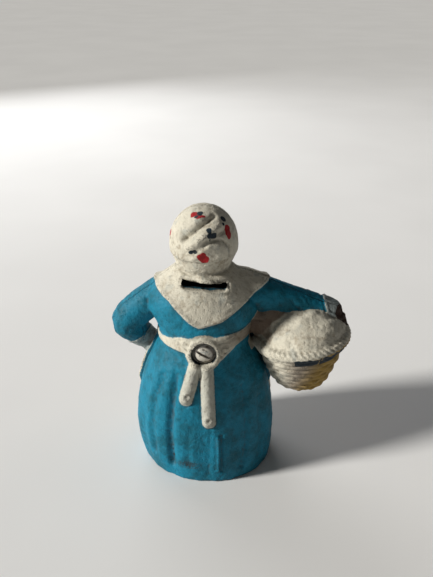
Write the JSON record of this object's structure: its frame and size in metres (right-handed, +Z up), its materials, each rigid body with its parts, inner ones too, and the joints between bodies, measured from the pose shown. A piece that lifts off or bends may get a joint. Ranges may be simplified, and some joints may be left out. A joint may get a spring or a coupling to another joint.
{
  "type": "cast-iron still bank",
  "caption": "Cast-iron still bank: a standing figure with a laundry basket, coin slot in the back of the shawl, two halves clamped by one slotted screw.",
  "frame": {"origin": "middle of the skirt hem, on the flat underside of the base and on the seam between the two halves", "axes": "+Z up, +Y towards the back of the figure, where the coin slot and the screw are, +X towards the arm on the hip; the basket is on the -X side"},
  "size_m": [0.1392, 0.0748, 0.1609],
  "materials": {
    "front_paint": "hand-painted enamel, satin, worn",
    "rear_paint": "hand-painted enamel, satin, worn",
    "screw_steel": "dull steel with traces of white paint"
  },
  "bodies": {
    "front": {"front_half": "front_paint"},
    "rear": {"rear_half": "rear_paint"},
    "screw": {"clamp_screw": "screw_steel"}
  },
  "joints": [
    {"name": "rear_half_slide", "type": "slide", "parent": "front", "child": "rear", "axis": [0, 1, 0], "range_m": [0, 0.0184]},
    {"name": "screw_turn", "type": "hinge", "parent": "rear", "child": "screw", "pos_m": [0, 0.026, 0.08392], "axis": [0, 1, 0], "range_deg": [0, 5216]}
  ],
  "couplings": [
    {"joint": "screw_turn", "follows": "rear_half_slide", "rad_per_m": 4947.4}
  ]
}
